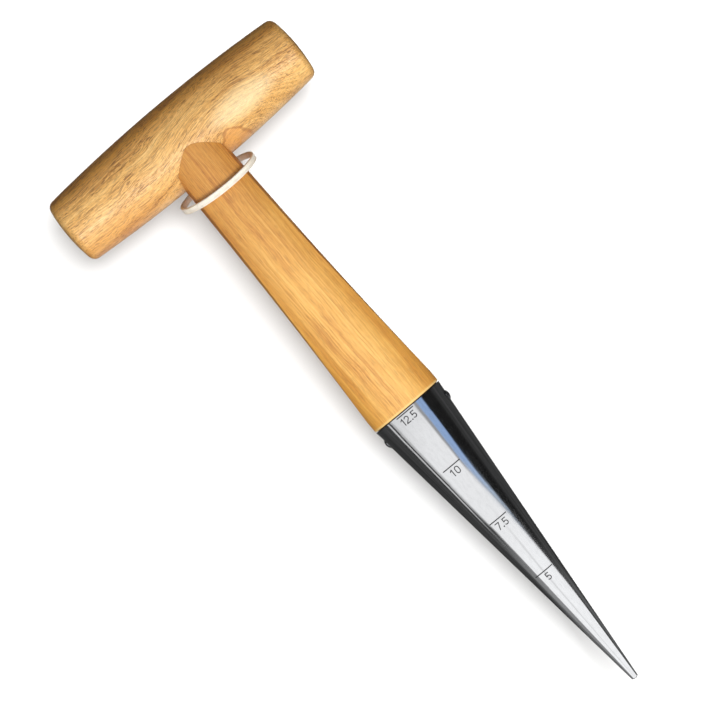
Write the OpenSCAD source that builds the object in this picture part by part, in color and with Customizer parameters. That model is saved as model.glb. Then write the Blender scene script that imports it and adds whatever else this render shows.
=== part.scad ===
// T-handled planting dibber: a turned hardwood crossbar saddled on a scooped
// hardwood neck, whose tapered spigot is pinned inside a hollow steel cone.
// Frame: the tip's small flat is at the origin, +Z runs up the neck, +X along
// the crossbar, and the depth scale faces -Y.

/* [Crossbar] */
// Length of the crossbar over its domed ends
bar_len = 106.4; // [90:0.1:130]
// Diameter at the middle of the barrel shape
bar_d = 30.3; // [28:0.1:34]
// Radius of the long barrel curve
bar_belly_r = 580; // [400:10:900]
// Radius of the gently domed ends
bar_dome_r = 60; // [40:1:90]
// Radius of the rounded end corners
bar_edge_r = 3; // [1.5:0.1:4]
// Height of the crossbar's centre line above the tip
bar_z = 251.2; // [240:0.1:280]

/* [Neck] */
// Front-to-back diameter of the neck at the cone's mouth
neck_d0 = 29.1; // [28:0.1:30]
// Front-to-back diameter of the neck under the crossbar
neck_d1 = 29.3; // [28:0.1:30]
// Width across the scooped sides at their narrowest
neck_waist = 21.5; // [18:0.1:26]
// Height above the tip where the scooped sides run parallel
neck_waist_z = 261.4; // [250:0.1:280]
// Radius of the long scoop along each side
neck_scoop_r = 2235; // [1500:5:4000]
// How much flatter than round the scooped sides are
neck_side_flat = 2.2; // [1.3:0.05:3]
// Gap between the neck's shoulder and the cone's rim
rim_gap = 0.4; // [0.3:0.1:1]
// Chamfer round the neck's shoulder
shoulder_chamfer = 0.3; // [0.2:0.1:1]
// Length of the tapered spigot inside the cone
spigot_len = 60; // [40:1:90]

/* [Cone] */
// Height of the cone from the tip to the mouth
cone_h = 126.4; // [110:0.1:140]
// Outside diameter at the mouth
mouth_d = 29.1; // [28:0.1:30]
// Outside diameter that the cone's sides run to at the tip
tip_d = 2.6; // [2:0.1:4]
// Diameter of the small flat on the tip
tip_flat_d = 1.4; // [1:0.1:2]
// Thickness of the steel sheet
sheet = 1; // [0.8:0.05:1.2]
// Height of the solid, welded point
point_h = 8; // [6:0.5:14]

/* [Fastenings] */
// Height of the two side nails above the tip
nail_z = 120.7; // [116:0.1:122]
// How far the pair of nails is turned round the neck, to bring the right one forward
nail_turn = 9; // [0:1:20]
// Diameter of the nails
nail_d = 2; // [1.5:0.1:2.4]
// Length of a nail under its head
nail_len = 10; // [6:0.5:11]
// Diameter of the domed nail heads
head_d = 4; // [3.5:0.1:5]
// Height of the domed nail heads
head_h = 0.8; // [0.6:0.1:1.4]
// Diameter of the dowel between the neck and the crossbar
dowel_d = 10; // [8:0.5:12]
// Length of the dowel
dowel_len = 40; // [30:1:50]

/* [Depth scale] */
// Step between the depth lines
mark_step = 25; // [25:25:25]
// How far the scale's zero lies above the blunt tip
mark_zero = 0.85; // [0:0.05:1]
// Width of an engraved line
mark_w = 0.4; // [0.3:0.05:0.8]
// Length of the depth lines, measured straight across
line_len = 7.5; // [5:0.1:8]
// Depth of the engraving
mark_deep = 0.2; // [0.1:0.05:0.3]
// Height of the numerals
num_h = 2.9; // [2:0.1:3.5]
// Width of a numeral
num_w = 1.8; // [1.2:0.05:2.2]
// Stroke of the numerals
num_s = 0.35; // [0.2:0.05:0.5]

/* [Neck tie] */
// Half width of the tie's loop inside, across the crossbar's length
tie_a = 15.2; // [15:0.05:16]
// Half depth of the tie's loop inside, front to back
tie_b = 16.1; // [15.6:0.05:16.5]
// Thickness of the strap
tie_t = 1.1; // [0.8:0.05:1.4]
// Width of the strap
tie_h = 2.3; // [1.8:0.1:3.6]
// Height of the loop's centre above the tip
tie_z = 231.2; // [228:0.1:233]
// Forward lean of the loop
tie_lean = 14; // [0:0.5:14]
// Sideways lean of the loop, positive when its left side is the higher
tie_side = 1.6; // [-3:0.1:3]

/* [Hidden] */
$fn = 96;

wood_a = [0.87, 0.66, 0.40];
wood_b = [0.86, 0.62, 0.33];
steel = [0.78, 0.79, 0.81];
ink = [0.15, 0.15, 0.16];
nylon = [0.93, 0.91, 0.86];

slope = (mouth_d - tip_d) / 2 / cone_h;        // outside taper of the cone, radius per height
lean = atan(slope);
wall = sheet / cos(lean);                      // sheet thickness measured across the axis
glue = 0.06;                                   // gap round the spigot
seat = 0.1;                                    // glue line between the saddle and the crossbar
shoulder_z = cone_h + rim_gap;
function cone_r(z) = tip_d / 2 + slope * z;

// Profile of the crossbar in x >= 0, with its centre line up the y axis.
module bar_profile(extra) {
    half = bar_len / 2 + extra;
    r0 = bar_d / 2 + extra;
    br = bar_belly_r;
    dr = bar_dome_r;
    er = bar_edge_r;
    // Centre of the edge rounding: er inside both the belly arc and the dome arc.
    // Found by stepping along the belly's offset arc until the dome's offset arc meets it.
    dome_c = half - dr;
    function gap(y) = norm([belly_x(y), y - dome_c]) - (dr - er);
    function belly_x(y) = r0 - br + sqrt((br - er) * (br - er) - y * y);
    function find(lo, hi, n) = n == 0 ? (lo + hi) / 2
        : gap((lo + hi) / 2) > 0 ? find(lo, (lo + hi) / 2, n - 1) : find((lo + hi) / 2, hi, n - 1);
    cy = find(half - 3 * er - 4, half, 40);
    cx = belly_x(cy);
    a0 = asin(cy / (br - er));                 // where the belly arc turns into the edge
    a1 = atan2(cy - dome_c, cx);               // where the edge turns into the dome
    steps = 48;
    points = concat(
        [[0, -half]],
        [for (i = [5:-1:1]) let (a = a1 + (90 - a1) * i / 6) [dr * cos(a), -(dome_c + dr * sin(a))]],
        [for (i = [8:-1:0]) let (a = a0 + (a1 - a0) * i / 8) [cx + er * cos(a), -(cy + er * sin(a))]],
        [for (i = [-steps / 2 + 1:steps / 2 - 1]) let (a = a0 * 2 * i / steps) [r0 - br + br * cos(a), br * sin(a)]],
        [for (i = [0:8]) let (a = a0 + (a1 - a0) * i / 8) [cx + er * cos(a), cy + er * sin(a)]],
        [for (i = [1:5]) let (a = a1 + (90 - a1) * i / 6) [dr * cos(a), dome_c + dr * sin(a)]],
        [[0, half]]
    );
    polygon(points);
}

module bar_solid(extra = 0) {
    translate([0, 0, bar_z]) rotate([0, 90, 0]) rotate_extrude($fn = 144) bar_profile(extra);
}

module dowel_space(extra, more) {
    translate([0, 0, bar_z + 6 - dowel_len - more]) cylinder(d = dowel_d + 2 * extra, h = dowel_len + 2 * more, $fn = 72);
}

module crossbar() {
    color(wood_a) difference() {
        bar_solid();
        dowel_space(0.03, 0.6);
    }
}

// The neck before its saddle: round front and back, scooped on both sides.
module neck_blank() {
    top = bar_z;
    intersection() {
        union() {
            translate([0, 0, shoulder_z]) cylinder(d1 = neck_d0 - 2 * shoulder_chamfer, d2 = neck_d0, h = shoulder_chamfer, $fn = 144);
            translate([0, 0, shoulder_z + shoulder_chamfer]) cylinder(d1 = neck_d0, d2 = neck_d1, h = top - shoulder_z - shoulder_chamfer, $fn = 144);
        }
        scale([1, neck_side_flat, 1]) rotate_extrude($fn = 144) difference() {
            translate([0, shoulder_z - 2]) square([17, top - shoulder_z + 4]);
            translate([neck_waist / 2 + neck_scoop_r, neck_waist_z]) circle(r = neck_scoop_r, $fn = 2880);
        }
    }
}

module spigot() {
    z0 = shoulder_z - spigot_len;
    translate([0, 0, z0]) cylinder(r1 = cone_r(z0) - wall - glue, r2 = cone_r(shoulder_z) - wall - glue, h = spigot_len, $fn = 144);
    translate([0, 0, shoulder_z - 0.01]) cylinder(r = cone_r(shoulder_z) - wall - glue, h = 2, $fn = 144);
}

module nail_place(side) {
    rotate([0, 0, (side > 0 ? 0 : 180) - nail_turn]) translate([cone_r(nail_z), 0, nail_z]) rotate([0, 90 + lean, 0]) children();
}

module nail_hole(d) {
    for (side = [-1, 1]) nail_place(side) translate([0, 0, -nail_len - 0.5]) cylinder(d = d, h = nail_len + 3, $fn = 48);
}

module neck() {
    color(wood_b) difference() {
        union() {
            neck_blank();
            spigot();
        }
        bar_solid(seat);
        dowel_space(0.03, 0.6);
        nail_hole(nail_d + 0.06);
    }
}

module neck_dowel() {
    color(wood_b) dowel_space(0, 0);
}

module cone_body(inset = 0) {
    rotate_extrude($fn = 144) polygon([
        [0, inset], [tip_flat_d / 2, inset], [cone_r(0.45) - inset, 0.45 + inset],
        [cone_r(cone_h) - inset, cone_h], [0, cone_h]
    ]);
}

module stroke(a, b, w) {
    translate(a) rotate(atan2(b[1] - a[1], b[0] - a[0])) translate([0, -w / 2]) square([norm(b - a), w]);
}

// Part of a ring, from angle a0 to angle a1, kept by a wedge of no more than 180 degrees at a time.
module arc(r, w, a0, a1) {
    mid = (a0 + a1) / 2;
    intersection() {
        difference() {
            circle(r = r + w / 2, $fn = 48);
            circle(r = r - w / 2, $fn = 48);
        }
        polygon(concat([[0, 0]], [for (a = [a0, a0 + (mid - a0) / 2, mid, mid + (a1 - mid) / 2, a1]) 3 * r * [cos(a), sin(a)]]));
    }
}

module digit(d) {
    w = num_w;
    h = num_h;
    s = num_s;
    r = (w - s) / 2;
    if (d == "0") difference() {
        union() {
            translate([w / 2, w / 2]) circle(d = w, $fn = 48);
            translate([w / 2, h - w / 2]) circle(d = w, $fn = 48);
            translate([0, w / 2]) square([w, h - w]);
        }
        translate([w / 2, w / 2]) circle(d = w - 2 * s, $fn = 48);
        translate([w / 2, h - w / 2]) circle(d = w - 2 * s, $fn = 48);
        translate([s, w / 2]) square([w - 2 * s, h - w]);
    }
    if (d == "1") {
        translate([0.6, 0]) square([s, h]);
        intersection() {
            stroke([-0.1, h - 0.85], [0.6 + s, h - 0.1], s);
            square([0.6 + s, h]);
        }
    }
    if (d == "2") {
        square([w, s]);
        translate([w / 2, h - w / 2]) arc(r, s, -35, 170);
        intersection() {
            stroke([0.02, s / 2], [w / 2 + r * cos(-35) + 0.02, h - w / 2 + r * sin(-35)], s);
            square([w, h]);
        }
    }
    if (d == "5") {
        b = w / 2 + 0.06;
        translate([w / 2, b]) arc(r, s, -150, 142);
        translate([0.14, h - s]) square([w - 0.24, s]);
        stroke([0.14 + s / 2, h - 0.02], [w / 2 + r * cos(142) - 0.02, b + r * sin(142) - 0.05], s);
    }
    if (d == "7") {
        translate([0, h - s]) square([w, s]);
        intersection() {
            stroke([w * 0.3, -0.1], [w - s / 2, h - s / 2], s);
            square([w, h]);
        }
    }
    if (d == ".") square([s * 1.4, s * 1.4]);
}

// A row of numerals, starting at x and standing under the line at height z.
module number(chars, x, z) {
    for (i = [0:len(chars) - 1])
        translate([x + chars[i][1], z - 0.92 - num_h]) digit(chars[i][0]);
}

module numerals_2d() {
    number([["1", 0], ["2", 1.45], [".", 3.75], ["5", 4.45]], -5.25, mark_zero + 5 * mark_step);
    number([["1", 0], ["0", 1.8]], -3.4, mark_zero + 4 * mark_step);
    number([["7", 0], [".", 2.2], ["5", 3]], -3.4, mark_zero + 3 * mark_step);
    number([["5", 0]], -1.3, mark_zero + 2 * mark_step);
}

// Middle of each line across the cone, from the lowest up: the scale stands a little left of centre.
line_mid = [-0.5, -1, -1.55, -2];

module lines_2d() {
    for (i = [0:3])
        translate([line_mid[i] - line_len / 2, mark_zero + (i + 2) * mark_step - mark_w / 2]) square([line_len, mark_w]);
}

module forward() {
    rotate([90, 0, 0]) translate([0, 0, 1]) linear_extrude(height = 17) children();
}

// The engraving is cut square to the front, to one depth under the curved surface.
module engraved(depth, top) {
    difference() {
        intersection() {
            forward() children();
            translate([0, 0, 40]) cylinder(r1 = cone_r(40) - top, r2 = cone_r(cone_h) - top, h = cone_h - 40, $fn = 144);
        }
        translate([0, 0, 39]) cylinder(r1 = cone_r(39) - depth, r2 = cone_r(cone_h + 1) - depth, h = cone_h - 38, $fn = 144);
    }
}

module cone() {
    inner0 = cone_r(point_h) - wall;
    color(steel) difference() {
        cone_body();
        translate([0, 0, point_h]) cylinder(r1 = inner0, r2 = cone_r(cone_h + 1) - wall, h = cone_h + 1 - point_h, $fn = 144);
        nail_hole(nail_d + 0.1);
        engraved(mark_deep, -0.3) lines_2d();
        engraved(mark_deep, -0.3) numerals_2d();
    }
}

module depth_lines() {
    color(ink) engraved(mark_deep - 0.01, 0.02) lines_2d();
}

module depth_numerals() {
    color(ink) engraved(mark_deep - 0.01, 0.02) numerals_2d();
}

module cone_nails() {
    ball = (head_d * head_d / 4 + head_h * head_h) / (2 * head_h);
    color(steel) for (side = [-1, 1]) nail_place(side) {
        translate([0, 0, -nail_len]) cylinder(d = nail_d, h = nail_len + 0.1, $fn = 48);
        translate([0, 0, -nail_len - 0.4]) cylinder(d1 = nail_d * 0.5, d2 = nail_d, h = 0.4, $fn = 48);
        intersection() {
            translate([0, 0, 0.04 + head_h - ball]) sphere(r = ball, $fn = 96);
            translate([0, 0, 0.04]) cylinder(d = head_d + 1, h = head_h + 1, $fn = 72);
        }
    }
}

// Two round ends drawn apart front to back, so that the loop is deeper than it is wide.
module loop_solid(r, h) {
    reach = tie_b - tie_a;
    translate([0, reach, 0]) cylinder(r = r, h = h, center = true, $fn = 144);
    translate([0, -reach, 0]) cylinder(r = r, h = h, center = true, $fn = 144);
    cube([2 * r, 2 * reach, h], center = true);
}

// A plastic tie drawn into a loose loop, with its locking head behind the neck.
module neck_tie() {
    color(nylon) translate([0, 0, tie_z]) rotate([tie_lean, tie_side, 0]) difference() {
        union() {
            loop_solid(tie_a + tie_t, tie_h);
            translate([-2.3, tie_b, -2.1]) cube([4.6, 3, 4.2]);
        }
        loop_solid(tie_a, 9);
    }
}

crossbar();
neck();
neck_dowel();
cone();
cone_nails();
depth_lines();
depth_numerals();
neck_tie();
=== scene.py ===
import bpy, bmesh, math, random
from mathutils import Vector, Matrix


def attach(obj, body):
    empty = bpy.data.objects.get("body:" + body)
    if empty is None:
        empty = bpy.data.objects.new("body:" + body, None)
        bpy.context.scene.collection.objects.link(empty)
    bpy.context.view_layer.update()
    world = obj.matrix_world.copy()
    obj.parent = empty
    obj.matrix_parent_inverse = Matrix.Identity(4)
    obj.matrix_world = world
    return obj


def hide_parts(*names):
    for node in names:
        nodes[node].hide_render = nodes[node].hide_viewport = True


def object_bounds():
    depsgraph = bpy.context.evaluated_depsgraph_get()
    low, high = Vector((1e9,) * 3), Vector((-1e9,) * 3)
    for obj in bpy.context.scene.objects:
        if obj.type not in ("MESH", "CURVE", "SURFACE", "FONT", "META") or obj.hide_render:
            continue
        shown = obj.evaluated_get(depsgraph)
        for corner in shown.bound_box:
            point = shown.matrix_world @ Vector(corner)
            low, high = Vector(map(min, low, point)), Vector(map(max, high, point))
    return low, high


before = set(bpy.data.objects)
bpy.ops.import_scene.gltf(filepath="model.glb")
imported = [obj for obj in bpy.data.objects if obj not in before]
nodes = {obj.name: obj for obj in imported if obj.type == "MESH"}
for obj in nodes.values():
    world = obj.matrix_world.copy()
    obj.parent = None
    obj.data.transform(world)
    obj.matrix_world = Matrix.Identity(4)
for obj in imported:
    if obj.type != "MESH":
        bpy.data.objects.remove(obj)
CAD_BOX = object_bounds()
scene = bpy.context.scene
scene.view_settings.view_transform = "Standard"
scene.view_settings.look = "None"
MM = 0.001


def lin(r, g, b):
    """A colour given as 0-255 display values, as linear RGBA."""
    f = lambda v: v / 255 / 12.92 if v <= 10.3 else ((v / 255 + 0.055) / 1.055) ** 2.4
    return (f(r), f(g), f(b), 1.0)


# ---------------------------------------------------------------- camera
CAM_D = 1.10
PLANE_W = 0.25455
img_up = Vector((0.6446, 0, 0.7645)).normalized()
img_right = Vector((0.7645, 0, -0.6446)).normalized()
centre = Vector((-0.00224, 0, 0.15197))
cam_data = bpy.data.cameras.new("camera")
cam_data.sensor_width = 36
cam_data.lens = 36 * CAM_D / PLANE_W
cam_data.clip_end = 20
cam = bpy.data.objects.new("camera", cam_data)
scene.collection.objects.link(cam)
back = Vector((0, -1, 0))
m = Matrix((img_right, img_up, back)).transposed().to_4x4()
m.translation = centre + back * CAM_D
cam.matrix_world = m
scene.camera = cam


# ---------------------------------------------------------------- node helpers
class Tree:
    """A little helper for writing node graphs."""

    def __init__(self, tree):
        self.t = tree
        tree.nodes.clear()

    def new(self, kind, **props):
        n = self.t.nodes.new(kind)
        for k, v in props.items():
            setattr(n, k, v)
        return n

    def put(self, value, socket):
        if isinstance(value, bpy.types.NodeSocket):
            self.t.links.new(value, socket)
        else:
            socket.default_value = value

    def math(self, op, a, b=0.0, c=0.0, clamp=False):
        n = self.new("ShaderNodeMath", operation=op, use_clamp=clamp)
        for i, v in enumerate((a, b, c)):
            self.put(v, n.inputs[i])
        return n.outputs[0]

    def smooth(self, x, a, b, lo=0.0, hi=1.0):
        n = self.new("ShaderNodeMapRange", interpolation_type="SMOOTHSTEP", clamp=True)
        for i, v in enumerate((x, a, b, lo, hi)):
            self.put(v, n.inputs[i])
        return n.outputs[0]

    def mix(self, f, a, b, mode="MIX"):
        n = self.new("ShaderNodeMix", data_type="RGBA", blend_type=mode)
        self.put(f, n.inputs[0]); self.put(a, n.inputs[6]); self.put(b, n.inputs[7])
        return n.outputs[2]

    def ramp(self, x, stops, kind="LINEAR"):
        n = self.new("ShaderNodeValToRGB")
        n.color_ramp.interpolation = kind
        e = n.color_ramp.elements
        e[0].position, e[0].color = stops[0]
        e[1].position, e[1].color = stops[-1]
        for p, c in stops[1:-1]:
            k = e.new(p); k.color = c
        self.put(x, n.inputs[0])
        return n.outputs[0]

    def xyz(self, v):
        n = self.new("ShaderNodeSeparateXYZ")
        self.put(v, n.inputs[0])
        return n.outputs

    def vec(self, x, y, z):
        n = self.new("ShaderNodeCombineXYZ")
        for i, v in enumerate((x, y, z)):
            self.put(v, n.inputs[i])
        return n.outputs[0]

    def noise(self, v, scale=1.0, detail=2.0, rough=0.5, distort=0.0):
        n = self.new("ShaderNodeTexNoise")
        self.put(v, n.inputs["Vector"])
        n.inputs["Scale"].default_value = scale
        n.inputs["Detail"].default_value = detail
        n.inputs["Roughness"].default_value = rough
        n.inputs["Distortion"].default_value = distort
        return n.outputs[0]

    def link(self, a, b):
        self.t.links.new(a, b)


def material(name):
    mat = bpy.data.materials.new(name)
    mat.use_nodes = True
    t = Tree(mat.node_tree)
    out = t.new("ShaderNodeOutputMaterial")
    bsdf = t.new("ShaderNodeBsdfPrincipled")
    t.link(bsdf.outputs[0], out.inputs[0])
    return mat, t, bsdf, out


def paint(obj, mat):
    obj.data.materials.clear()
    obj.data.materials.append(mat)


# ---------------------------------------------------------------- studio
world = bpy.data.worlds.new("studio")
scene.world = world
world.use_nodes = True
w = Tree(world.node_tree)
out = w.new("ShaderNodeOutputWorld")
lp = w.new("ShaderNodeLightPath")
direction = w.new("ShaderNodeTexCoord").outputs["Generated"]
dx, dy, dz = w.xyz(direction)
# soft light all round, strongest in front and a little below
front = w.smooth(dy, 1.0, -0.45, 0.0, 1.0)
band = w.math("MULTIPLY", w.smooth(dz, -0.95, -0.35, 0.10, 1.0), w.smooth(dz, 0.40, -0.26, 0.09, 1.0))
soft = w.math("ADD", w.math("MULTIPLY", w.math("MULTIPLY", front, band), 1.00), 0.11)
# a weaker fill from behind, for the back and the edges
soft = w.math("ADD", soft, w.smooth(dy, -0.05, 0.6, 0.0, 0.24))
env = w.new("ShaderNodeBackground"); env.inputs[0].default_value = (1, 0.985, 0.96, 1)
w.link(soft, env.inputs[1])
dark = w.new("ShaderNodeBackground"); dark.inputs[0].default_value = (0.03, 0.03, 0.033, 1)
seen = w.new("ShaderNodeBackground"); seen.inputs[0].default_value = (1, 1, 1, 1)
m1 = w.new("ShaderNodeMixShader"); m2 = w.new("ShaderNodeMixShader")
w.link(lp.outputs["Is Glossy Ray"], m1.inputs[0])
w.link(env.outputs[0], m1.inputs[1]); w.link(dark.outputs[0], m1.inputs[2])
w.link(lp.outputs["Is Camera Ray"], m2.inputs[0])
w.link(m1.outputs[0], m2.inputs[1]); w.link(seen.outputs[0], m2.inputs[2])
w.link(m2.outputs[0], out.inputs[0])


def mesh_object(name, verts, faces):
    me = bpy.data.meshes.new(name)
    me.from_pydata([tuple(v) for v in verts], [], faces)
    me.update()
    ob = bpy.data.objects.new(name, me)
    scene.collection.objects.link(ob)
    return ob


def only_glossy(ob):
    ob.visible_camera = False
    ob.visible_diffuse = False
    ob.visible_shadow = False
    ob.visible_transmission = False
    ob.visible_volume_scatter = False
    ob.visible_glossy = True


# A round tent of pale and dark panels, seen only in reflections.
TENT_R = 0.5
N = 96
tv, tf = [], []
for i in range(N):
    a = 2 * math.pi * i / N
    for z in (-4, 4):
        tv.append((TENT_R * math.sin(a), -TENT_R * math.cos(a), z))
for i in range(N):
    j = (i + 1) % N
    tf.append((2 * i, 2 * j, 2 * j + 1, 2 * i + 1))
tent = mesh_object("tent", tv, tf)
tm = bpy.data.materials.new("tent")
tm.use_nodes = True
t = Tree(tm.node_tree)
tout = t.new("ShaderNodeOutputMaterial")
em = t.new("ShaderNodeEmission")
tx, ty, tz = t.xyz(t.new("ShaderNodeTexCoord").outputs["Object"])
phi = t.math("MULTIPLY", t.math("ARCTAN2", tx, t.math("MULTIPLY", ty, -1.0)), 180 / math.pi)
h = t.math("MULTIPLY", tz, 1000.0)            # height on the tent, in mm
# the pale front panel: its right edge stands further right lower down
line = t.new("ShaderNodeMapRange", clamp=True)
for k, v in enumerate((h, -28.0, -103.0, 17.8, 77.0)):
    t.put(v, line.inputs[k])
right = line.outputs[0]
from_right = t.math("SUBTRACT", phi, right)
upper = t.smooth(h, -50, -20)                     # what the upper half of the cone reflects
edge_r = t.smooth(from_right, 3, -3)
left = t.smooth(h, -30, -66, -66.5, -59)
from_left = t.math("SUBTRACT", phi, left)
edge_l = t.smooth(from_left, -3, 3)
panel = t.math("MULTIPLY", edge_r, edge_l)
left_grey = t.math("MULTIPLY", t.smooth(from_left, -40, -30), t.smooth(from_left, 4, -4))
far = t.math("MULTIPLY", t.math("MULTIPLY", t.smooth(t.math("ABSOLUTE", phi), 157, 171), 0.6), t.smooth(h, 160, 40))
streaks = t.noise(t.vec(t.math("MULTIPLY", phi, 0.22), t.math("MULTIPLY", h, 0.012), 3.0), 1, 4, 0.7)
aphi = t.math("ABSOLUTE", phi)
gloom = t.math("MULTIPLY", t.smooth(streaks, 0.32, 0.70, 0.30, 1.5), t.math("ADD", t.smooth(aphi, 78, 104, 0.006, 0.050), t.smooth(h, -50, -100, 0.0, 0.115)))
lum = t.math("MULTIPLY", panel, t.smooth(h, 30, -12, 0.74, 0.93))
vein = t.math("MULTIPLY", t.smooth(t.math("ABSOLUTE", t.math("ADD", phi, t.smooth(h, -70, -110, 4, 12))), 7, 3), t.smooth(h, -62, -80, 0.0, 0.22))
lum = t.math("MULTIPLY", lum, t.math("SUBTRACT", 1.0, vein))
lum = t.math("ADD", lum, t.math("MULTIPLY", left_grey, t.smooth(h, -30, -74, 0.02, 0.17)))
lum = t.math("ADD", lum, far)
lum = t.math("ADD", lum, gloom)
# fine lines at the panel's left side
thin = t.math("MULTIPLY", t.smooth(t.math("ABSOLUTE", t.math("ADD", from_left, 14.0)), 3.2, 1.2), t.math("MULTIPLY", upper, 0.75))
step = t.math("MULTIPLY", t.smooth(t.math("ABSOLUTE", t.math("ADD", from_left, 3.5)), 4.0, 2.0), t.math("MULTIPLY", upper, 0.45))
lum = t.math("ADD", t.math("ADD", lum, thin), step)
cut = t.math("MULTIPLY", t.smooth(t.math("ABSOLUTE", t.math("ADD", from_left, 8.6)), 3.4, 1.6), t.math("MULTIPLY", t.smooth(h, -75, -40), 0.97))
lum = t.math("MULTIPLY", lum, t.math("SUBTRACT", 1.0, cut))
# the grey step between the panel and the blue strip, then a black line beyond it lower down
gap = t.math("MULTIPLY", t.smooth(t.math("ABSOLUTE", t.math("SUBTRACT", from_right, 6.0)), 8.0, 5.0), t.smooth(h, -45, -5, 0.0, 0.34))
lum = t.math("ADD", lum, gap)
edge_cut = t.math("MULTIPLY", t.smooth(t.math("ABSOLUTE", t.math("SUBTRACT", from_right, 6.0)), 6.5, 4.5), t.smooth(h, -58, -66, 0.0, 0.9))
lum = t.math("MULTIPLY", lum, t.math("SUBTRACT", 1.0, edge_cut))
# the blue strip
blue = t.math("MULTIPLY", t.smooth(t.math("ABSOLUTE", t.math("SUBTRACT", from_right, t.smooth(h, -45, 8, 12, 20.5))), t.smooth(h, -62, -20, 7.5, 12), t.smooth(h, -62, -20, 4, 8.5)), t.smooth(h, -64, -50))
blue = t.math("MULTIPLY", blue, t.smooth(streaks, 0.30, 0.55, 0.75, 1.0))
col = t.vec(lum, lum, lum)
bcol = t.mix(blue, col, t.mix(t.smooth(h, -20, -50), lin(150, 178, 220), lin(186, 203, 222)))
t.link(bcol, em.inputs[0])
em.inputs[1].default_value = 1.0
t.link(em.outputs[0], tout.inputs[0])
paint(tent, tm)
only_glossy(tent)

# The pale board behind it, one-sided so that views from behind stay clear.
WALL_Y = 0.0215
wall = mesh_object("board", [(-0.6, WALL_Y, -0.5), (0.6, WALL_Y, -0.5), (0.6, WALL_Y, 0.75), (-0.6, WALL_Y, 0.75)], [(0, 1, 2, 3)])
wm = bpy.data.materials.new("board")
wm.use_nodes = True
t = Tree(wm.node_tree)
wout = t.new("ShaderNodeOutputMaterial")
dif = t.new("ShaderNodeBsdfDiffuse"); dif.inputs[0].default_value = (0.5, 0.5, 0.5, 1)
tr = t.new("ShaderNodeBsdfTransparent")
mx = t.new("ShaderNodeMixShader")
geo = t.new("ShaderNodeNewGeometry")
t.link(geo.outputs["Backfacing"], mx.inputs[0])
glow = t.new("ShaderNodeEmission"); glow.inputs[0].default_value = (1, 1, 1, 1); glow.inputs[1].default_value = 0.24
both = t.new("ShaderNodeAddShader")
t.link(dif.outputs[0], both.inputs[0]); t.link(glow.outputs[0], both.inputs[1])
t.link(both.outputs[0], mx.inputs[1]); t.link(tr.outputs[0], mx.inputs[2])
t.link(mx.outputs[0], wout.inputs[0])
paint(wall, wm)
wall.visible_glossy = False
wall.visible_diffuse = False
wall.visible_shadow = False
wall.visible_transmission = False

only_board = bpy.data.collections.new("only_board")
only_board.objects.link(wall)
not_board = bpy.data.collections.new("woods")
for n in ("crossbar", "neck", "neck_dowel"):
    not_board.objects.link(nodes[n])


def sun(name, toward, strength, angle, receivers=None):
    d = bpy.data.lights.new(name, "SUN")
    d.energy = strength
    d.angle = math.radians(angle)
    o = bpy.data.objects.new(name, d)
    scene.collection.objects.link(o)
    o.rotation_mode = "QUATERNION"
    o.rotation_quaternion = Vector(toward).normalized().to_track_quat("-Z", "Y")
    o.visible_glossy = False
    if receivers:
        o.light_linking.receiver_collection = receivers
    return o


def area(name, place, aim, sx, sz, power, receivers=None, colour=(1, 1, 1), glossy=True):
    d = bpy.data.lights.new(name, "AREA")
    d.shape = "RECTANGLE"
    d.size, d.size_y = sx, sz
    d.energy = power
    d.color = colour
    o = bpy.data.objects.new(name, d)
    scene.collection.objects.link(o)
    o.location = place
    o.rotation_mode = "QUATERNION"
    o.rotation_quaternion = (Vector(aim) - Vector(place)).to_track_quat("-Z", "Y")
    o.visible_glossy = glossy
    o.visible_camera = False
    if receivers:
        o.light_linking.receiver_collection = receivers
    return o


sun("shade_sun", (-0.19, 1, -0.07), 5.0, 32, only_board)
area("key", (0.0, -0.62, -0.16), (0, 0, 0.22), 0.9, 0.30, 4.8, not_board, (1, 0.98, 0.95))


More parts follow.
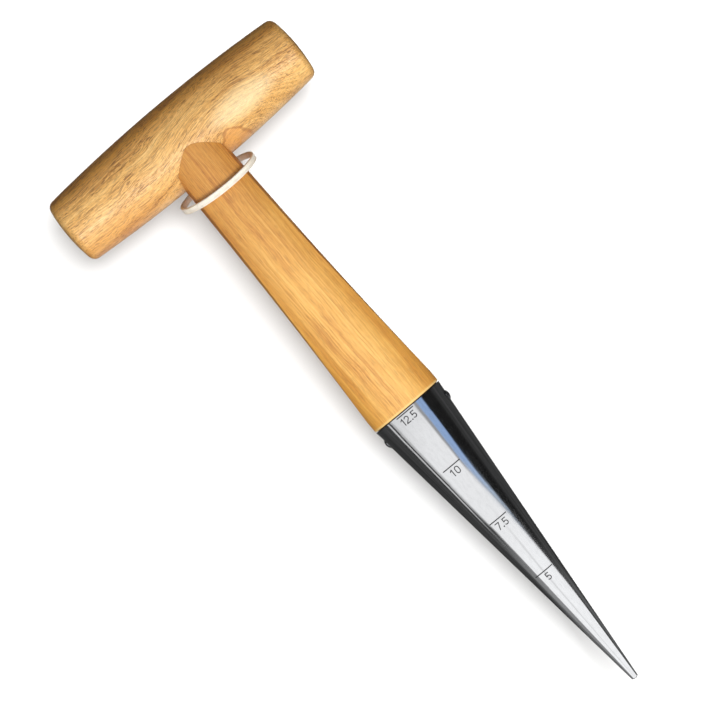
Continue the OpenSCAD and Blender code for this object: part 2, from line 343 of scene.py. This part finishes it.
# ---------------------------------------------------------------- wood
def wood(name, along, tones, bend=None, fine=1.0, ring=1.0, pores=1.0, tint=None, contrast=1.5):
    """Hardwood with growth rings, fibres and open pores. 'along' is the grain's axis."""
    mat, t, bsdf, out = material(name)
    P = t.new("ShaderNodeTexCoord").outputs["Object"]
    x, y, z = [t.math("MULTIPLY", c, 1000.0) for c in t.xyz(P)]      # millimetres
    if along == "X":
        u, v, q = x, z, y
        v = t.math("SUBTRACT", v, 251.2)
    else:
        u, v, q = z, x, y
    wob = t.noise(t.vec(t.math("MULTIPLY", u, 0.028), t.math("MULTIPLY", v, 0.05), t.math("MULTIPLY", q, 0.05)), 1, 2, 0.5)
    wob2 = t.noise(t.vec(t.math("MULTIPLY", u, 0.10), t.math("MULTIPLY", v, 0.22), t.math("MULTIPLY", q, 0.22)), 1, 1, 0.5)
    vv = t.math("ADD", v, t.math("MULTIPLY", t.math("SUBTRACT", wob, 0.5), 7.0 if along == "X" else 3.0))
    vv = t.math("ADD", vv, t.math("MULTIPLY", t.math("SUBTRACT", wob2, 0.5), 0.9 if along == "X" else 0.6))
    if bend:
        vv = t.math("SUBTRACT", vv, bend(t, u, v))
    # growth rings: slowly varying distance from a pith well outside the piece
    rq = t.math("ADD", q, 9.0)
    rings = t.math("SQRT", t.math("ADD", t.math("MULTIPLY", t.math("ADD", vv, 34.0), t.math("ADD", vv, 34.0)), t.math("MULTIPLY", t.math("MULTIPLY", rq, rq), 0.5)))
    wide = t.noise(t.vec(t.math("MULTIPLY", u, 0.004), t.math("MULTIPLY", rings, 0.34 * ring), 0.0), 1, 3, 0.6)
    thin = t.noise(t.vec(t.math("MULTIPLY", u, 0.016), t.math("MULTIPLY", rings, 1.7 * fine), t.math("MULTIPLY", q, 0.1)), 1, 4, 0.72)
    fibre = t.noise(t.vec(t.math("MULTIPLY", u, 0.10), t.math("MULTIPLY", vv, 5.0 * fine), t.math("MULTIPLY", q, 4.0 * fine)), 1, 2, 0.6)
    pore = t.noise(t.vec(t.math("MULTIPLY", u, 0.24), t.math("MULTIPLY", vv, 2.7 * fine), t.math("MULTIPLY", q, 2.7 * fine)), 1, 1, 0.5)
    pore_small = t.noise(t.vec(t.math("MULTIPLY", u, 0.5), t.math("MULTIPLY", vv, 4.6 * fine), t.math("MULTIPLY", q, 4.6 * fine)), 1, 1, 0.5)
    mottling = t.noise(t.vec(t.math("MULTIPLY", u, 0.05), t.math("MULTIPLY", v, 0.09), t.math("MULTIPLY", q, 0.09)), 1, 3, 0.55)
    tone = t.math("ADD", t.math("MULTIPLY", wide, 0.38), t.math("MULTIPLY", thin, 0.62))
    tone = t.math("ADD", 0.5, t.math("MULTIPLY", t.math("SUBTRACT", tone, 0.5), contrast))
    tone = t.math("ADD", tone, t.math("MULTIPLY", t.math("SUBTRACT", fibre, 0.5), 0.36))
    tone = t.math("ADD", tone, t.math("MULTIPLY", t.math("SUBTRACT", mottling, 0.5), 0.35))
    col = t.ramp(tone, [(0.30, tones[0]), (0.44, tones[1]), (0.56, tones[2]), (0.72, tones[3])])
    dots = t.smooth(pore, 0.565, 0.605)
    dots2 = t.smooth(pore_small, 0.575, 0.625)
    many = t.smooth(t.math("ADD", wide, t.math("MULTIPLY", mottling, 0.6)), 0.60, 0.95, 1.0, 0.55)
    streak = t.math("MULTIPLY", t.math("MAXIMUM", dots, t.math("MULTIPLY", dots2, 0.7)), t.math("MULTIPLY", many, 0.80 * pores))
    col = t.mix(streak, col, tones[4])
    if tint:
        col = tint(t, col, x, y, z, u, v, q)
    t.link(col, bsdf.inputs["Base Color"])
    rough = t.math("ADD", t.smooth(tone, 0.3, 0.7, 0.46, 0.36), t.math("MULTIPLY", streak, 0.2))
    t.link(rough, bsdf.inputs["Roughness"])
    bsdf.inputs["IOR"].default_value = 1.5
    bsdf.inputs["Coat Weight"].default_value = 0.7
    bsdf.inputs["Coat Roughness"].default_value = 0.28
    bsdf.inputs["Subsurface Weight"].default_value = 0.0
    bump = t.new("ShaderNodeBump")
    bump.inputs["Strength"].default_value = 0.5
    bump.inputs["Distance"].default_value = 0.00012
    height = t.math("SUBTRACT", t.math("MULTIPLY", fibre, 0.5), t.math("MULTIPLY", streak, 1.2))
    t.link(height, bump.inputs["Height"])
    t.link(bump.outputs[0], bsdf.inputs["Normal"])
    t.link(bump.outputs[0], bsdf.inputs["Coat Normal"])
    return mat


def bar_bend(t, u, v):
    """The figure sweeps up over an arch right of the joint and dies away upward."""
    du = t.math("SUBTRACT", u, 18.0)
    g = t.math("POWER", 2.718, t.math("MULTIPLY", t.math("MULTIPLY", du, du), -1 / (2 * 15.0 ** 2)))
    fade = t.smooth(v, 16, -13, 0.15, 1.0)
    arch = t.math("MULTIPLY", t.math("MULTIPLY", g, fade), 11.0)
    return t.math("ADD", arch, t.math("MULTIPLY", t.math("ADD", u, 53.0), 0.05))


def normal_for_painted_shade(t):
    """The world normal, for painted shade on the sides turned away from the light."""
    return t.xyz(t.new("ShaderNodeNewGeometry").outputs["Normal"])


def bar_tint(t, col, x, y, z, u, v, q):
    low = t.smooth(v, -2, -14)
    left = t.smooth(u, -5, -35)
    col = t.mix(t.math("MULTIPLY", t.math("MULTIPLY", low, left), 0.30), col, lin(226, 146, 74))
    # painted shade: faces turned upward are darker and more saturated, as little light reaches them from above
    nz = normal_for_painted_shade(t)[2]
    col = t.mix(t.smooth(nz, 0.25, 0.95), col, t.mix(1.0, col, lin(255, 232, 168), "MULTIPLY"))
    front = t.smooth(q, 4, -4)
    # a pale patch low and right of the joint, on the front only: partly paler wood, partly a painted highlight where
    # the key light's sheen falls
    a = t.math("DIVIDE", t.math("SUBTRACT", u, 25.0), 17.0)
    b = t.math("DIVIDE", t.math("ADD", v, 4.0), 6.5)
    pale = t.smooth(t.math("ADD", t.math("MULTIPLY", a, a), t.math("MULTIPLY", b, b)), 1.0, 0.0)
    col = t.mix(t.math("MULTIPLY", t.math("MULTIPLY", pale, front), 0.50), col, lin(255, 232, 178))
    # a deep orange arch of grain beside the joint
    a = t.math("DIVIDE", t.math("SUBTRACT", u, 14.8), 6.4)
    b = t.math("DIVIDE", t.math("ADD", v, 17.5), 8.6)
    arch = t.math("SQRT", t.math("ADD", t.math("MULTIPLY", a, a), t.math("MULTIPLY", b, b)))
    arch = t.math("ADD", arch, t.math("MULTIPLY", t.math("SUBTRACT", t.noise(t.vec(t.math("MULTIPLY", u, 0.3), t.math("MULTIPLY", v, 0.3), 0.0), 1, 2, 0.5), 0.5), 0.35))
    col = t.mix(t.math("MULTIPLY", t.math("MULTIPLY", t.smooth(arch, 1.02, 0.9), front), 0.55), col, lin(226, 156, 74))
    ring = t.smooth(t.math("ABSOLUTE", t.math("SUBTRACT", arch, 1.0)), 0.085, 0.03)
    return t.mix(t.math("MULTIPLY", t.math("MULTIPLY", ring, front), 0.6), col, lin(170, 104, 36))


bar_mat = wood(
    "crossbar_wood", "X",
    [lin(194, 134, 60), lin(223, 168, 88), lin(238, 186, 106), lin(250, 208, 136), lin(116, 70, 24)],
    bend=bar_bend, fine=1.15, ring=1.25, pores=1.0, tint=bar_tint, contrast=1.25,
)


def neck_tint(t, col, x, y, z, u, v, q):
    top = t.smooth(z, 175, 246)
    # painted shade: the sides, turned away from the light, are darker and more saturated
    nx = t.math("ABSOLUTE", normal_for_painted_shade(t)[0])
    col = t.mix(t.smooth(nx, 0.45, 1.0), col, t.mix(1.0, col, lin(255, 236, 186), "MULTIPLY"))
    # painted shade: darker towards the top of the neck, where less of the light from below reaches
    col = t.mix(top, col, t.mix(1.0, col, lin(221, 202, 170), "MULTIPLY"))
    # a painted highlight along the arris at the shoulder, and painted shade in the joint below it
    rim_highlight = t.math("MULTIPLY", t.smooth(z, 126.75, 126.95), t.smooth(z, 127.9, 127.2))
    col = t.mix(t.math("MULTIPLY", rim_highlight, 0.6), col, lin(255, 224, 150))
    # painted shade: the joint below the shoulder is made near black, as the gap there lies in shadow
    return t.mix(t.smooth(z, 126.92, 126.74), col, lin(30, 20, 12))


neck_mat = wood(
    "neck_wood", "Z",
    [lin(206, 140, 58), lin(226, 165, 76), lin(238, 181, 90), lin(247, 198, 110), lin(150, 90, 32)],
    fine=1.25, ring=1.1, pores=0.5, tint=neck_tint,
)
paint(nodes["crossbar"], bar_mat)
paint(nodes["neck"], neck_mat)
paint(nodes["neck_dowel"], neck_mat)

# ---------------------------------------------------------------- steel
steel, t, bsdf, out = material("cone_steel")
P = t.new("ShaderNodeTexCoord").outputs["Object"]
x, y, z = [t.math("MULTIPLY", c, 1000.0) for c in t.xyz(P)]
ang = t.math("ARCTAN2", x, y)
rub = t.noise(t.vec(t.math("MULTIPLY", ang, 26.0), t.math("MULTIPLY", z, 0.05), 0.0), 1, 3, 0.6)
speck = t.noise(t.vec(t.math("MULTIPLY", x, 0.9), t.math("MULTIPLY", y, 0.9), t.math("MULTIPLY", z, 0.35)), 1, 3, 0.6)
col = t.mix(t.smooth(speck, 0.35, 0.75), lin(236, 237, 239), lin(230, 231, 233))
t.link(col, bsdf.inputs["Base Color"])
bsdf.inputs["Metallic"].default_value = 1.0
t.link(t.math("ADD", t.smooth(rub, 0.3, 0.7, 0.07, 0.12), t.math("MULTIPLY", t.smooth(speck, 0.5, 0.8), 0.03)), bsdf.inputs["Roughness"])
bump = t.new("ShaderNodeBump")
bump.inputs["Strength"].default_value = 0.25
bump.inputs["Distance"].default_value = 0.000002
t.link(t.math("ADD", rub, t.math("MULTIPLY", speck, 0.5)), bump.inputs["Height"])
t.link(bump.outputs[0], bsdf.inputs["Normal"])


def cone_shell():
    """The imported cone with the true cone's smooth normals, so that its mirror finish reads clean round the marks."""
    src = nodes["cone"]
    me = src.data.copy()
    me.name = "cone_shell"
    ob = bpy.data.objects.new("cone_shell", me)
    scene.collection.objects.link(ob)
    half = math.atan((0.0291 - 0.0026) / 2 / 0.1264)
    ch, sh = math.cos(half), math.sin(half)
    radius = lambda z: 0.0013 + math.tan(half) * z
    for p in me.polygons:
        p.use_smooth = True
    old = [tuple(n.vector) for n in me.corner_normals]
    new = list(old)
    for p in me.polygons:
        cx, cy, cz = p.center
        r = math.hypot(cx, cy)
        if r < 1e-5 or cz < 0.0008:
            continue
        out_n = Vector((cx / r * ch, cy / r * ch, -sh))
        d = p.normal.dot(out_n)
        far_off = [abs(math.hypot(me.vertices[v].co.x, me.vertices[v].co.y) - radius(me.vertices[v].co.z)) for v in p.vertices]
        if d > 0.9 and max(far_off) < 0.00006:
            for li in p.loop_indices:
                v = me.vertices[me.loops[li].vertex_index].co
                rv = math.hypot(v.x, v.y)
                new[li] = (v.x / rv * ch, v.y / rv * ch, -sh)
        elif d < 0.5 and d > -0.5:
            for li in p.loop_indices:
                new[li] = tuple(p.normal)
    me.normals_split_custom_set(new)
    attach(ob, "dibber")
    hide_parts("cone")
    return ob


shell = cone_shell()
paint(shell, steel)

nail, t, bsdf, out = material("nail_steel")
P = t.new("ShaderNodeTexCoord").outputs["Object"]
n1 = t.noise(P, 900, 3, 0.6)
t.link(t.mix(t.smooth(n1, 0.3, 0.7), lin(232, 233, 236), lin(205, 206, 210)), bsdf.inputs["Base Color"])
bsdf.inputs["Metallic"].default_value = 1.0
t.link(t.smooth(n1, 0.3, 0.8, 0.10, 0.24), bsdf.inputs["Roughness"])
paint(nodes["cone_nails"], nail)

ink, t, bsdf, out = material("mark_fill")
P = t.new("ShaderNodeTexCoord").outputs["Object"]
n1 = t.noise(P, 2500, 3, 0.6)
t.link(t.mix(t.smooth(n1, 0.3, 0.7), lin(44, 44, 47), lin(74, 74, 78)), bsdf.inputs["Base Color"])
t.link(t.smooth(n1, 0.3, 0.8, 0.55, 0.8), bsdf.inputs["Roughness"])
paint(nodes["depth_lines"], ink)
paint(nodes["depth_numerals"], ink)

# ---------------------------------------------------------------- tie
nylon, t, bsdf, out = material("tie_nylon")
P = t.new("ShaderNodeTexCoord").outputs["Object"]
n1 = t.noise(P, 420, 3, 0.6)
t.link(t.mix(t.smooth(n1, 0.3, 0.7), lin(240, 234, 222), lin(226, 217, 202)), bsdf.inputs["Base Color"])
t.link(t.smooth(n1, 0.3, 0.8, 0.34, 0.46), bsdf.inputs["Roughness"])
bsdf.inputs["Subsurface Weight"].default_value = 0.25
bsdf.inputs["Subsurface Radius"].default_value = (0.0012, 0.001, 0.0008)
bsdf.inputs["Subsurface Scale"].default_value = 1.0

def tie_strap():
    """The strap as one closed band with rounded edges and fine cross ribs outside."""
    A, B, T, H = 15.2, 16.1, 1.1, 2.3
    reach, rc = B - A, A + T / 2
    arc = math.pi * rc
    total = 2 * arc + 4 * reach

    def path(d):
        """Point and outward direction on the middle line, at distance d from the left side's middle."""
        d %= total
        if d < reach:
            return (-rc, -d), (-1.0, 0.0)
        d -= reach
        if d < arc:
            g = math.pi + d / rc
            return (rc * math.cos(g), -reach + rc * math.sin(g)), (math.cos(g), math.sin(g))
        d -= arc
        if d < 2 * reach:
            return (rc, -reach + d), (1.0, 0.0)
        d -= 2 * reach
        if d < arc:
            g = d / rc
            return (rc * math.cos(g), reach + rc * math.sin(g)), (math.cos(g), math.sin(g))
        d -= arc
        return (-rc, reach - d), (-1.0, 0.0)

    o, k, r = T / 2, H / 2, 0.32
    # outline of the strap: (outward, up, is it ribbed?)
    outline = []
    for cx, cz, a0 in ((o - r, k - r, 0), (-o + r, k - r, 90), (-o + r, -k + r, 180), (o - r, -k + r, 270)):
        for a in (0, 30, 60, 90):
            g = math.radians(a0 + a)
            outline.append((cx + r * math.cos(g), cz + r * math.sin(g), False))
    face = [(o, -k + r + 0.08, False), (o, -k + r + 0.16, True), (o, 0, True), (o, k - r - 0.16, True), (o, k - r - 0.08, False)]
    outline = outline + face
    ribs = 228
    steps = [(0.00, 0.0), (0.34, 0.0), (0.50, 0.13), (0.84, 0.13)]
    verts, faces = [], []
    M = len(outline)
    for i in range(ribs):
        for f, depth in steps:
            (px, py), (nx, ny) = path((i + f) * total / ribs)
            for (e, z, ribbed) in outline:
                e2 = e - (depth if ribbed else 0.0)
                verts.append(((px + nx * e2) * MM, (py + ny * e2) * MM, z * MM))
    S = ribs * len(steps)
    for i in range(S):
        for q in range(M):
            a0, a1 = i * M + q, i * M + (q + 1) % M
            b0, b1 = ((i + 1) % S) * M + q, ((i + 1) % S) * M + (q + 1) % M
            faces.append((a0, b0, b1, a1))
    ob = mesh_object("tie_strap", verts, faces)
    bm = bmesh.new(); bm.from_mesh(ob.data)
    bmesh.ops.recalc_face_normals(bm, faces=bm.faces)
    bm.to_mesh(ob.data); bm.free()
    for p in ob.data.polygons:
        p.use_smooth = True
    return ob


def tie_head():
    """The locking head: a bevelled block with the strap's slot sunk into it from above and from below, and a shallow
    sunken step on its outer face.
    """
    bm = bmesh.new()
    bmesh.ops.create_cube(bm, size=1.0)
    for v in bm.verts:
        v.co = Vector((v.co.x * 4.6 * MM, (16.1 + 1.5 + v.co.y * 3.0) * MM, v.co.z * 4.2 * MM))
    bmesh.ops.bevel(bm, geom=[e for e in bm.edges], offset=0.55 * MM, segments=4, profile=0.5, affect="EDGES", clamp_overlap=True)
    bm.faces.ensure_lookup_table()
    for up in (1, -1):
        f = max(bm.faces, key=lambda q: q.normal.z * up * q.calc_area())
        bmesh.ops.inset_individual(bm, faces=[f], thickness=0.42 * MM, depth=0)
        r = bmesh.ops.inset_individual(bm, faces=[f], thickness=0.08 * MM, depth=-0.25 * MM)
        r = bmesh.ops.inset_individual(bm, faces=[f], thickness=0.02 * MM, depth=-1.2 * MM)
    f = max(bm.faces, key=lambda q: q.normal.y * q.calc_area())
    bmesh.ops.inset_individual(bm, faces=[f], thickness=0.45 * MM, depth=0)
    bmesh.ops.inset_individual(bm, faces=[f], thickness=0.12 * MM, depth=-0.22 * MM)
    bmesh.ops.recalc_face_normals(bm, faces=bm.faces)
    me = bpy.data.meshes.new("tie_head")
    bm.to_mesh(me); bm.free()
    ob = bpy.data.objects.new("tie_head", me)
    scene.collection.objects.link(ob)
    return ob


place = Matrix.Translation((0, 0, 0.2312)) @ Matrix.Rotation(math.radians(1.6), 4, "Y") @ Matrix.Rotation(math.radians(14), 4, "X")
for ob in (tie_strap(), tie_head()):
    ob.data.transform(place)
    ob.data.update()
    paint(ob, nylon)
    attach(ob, "tie")
    not_board.objects.link(ob)
    if ob.name == "tie_strap":
        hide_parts("neck_tie")

a, b = CAD_BOX
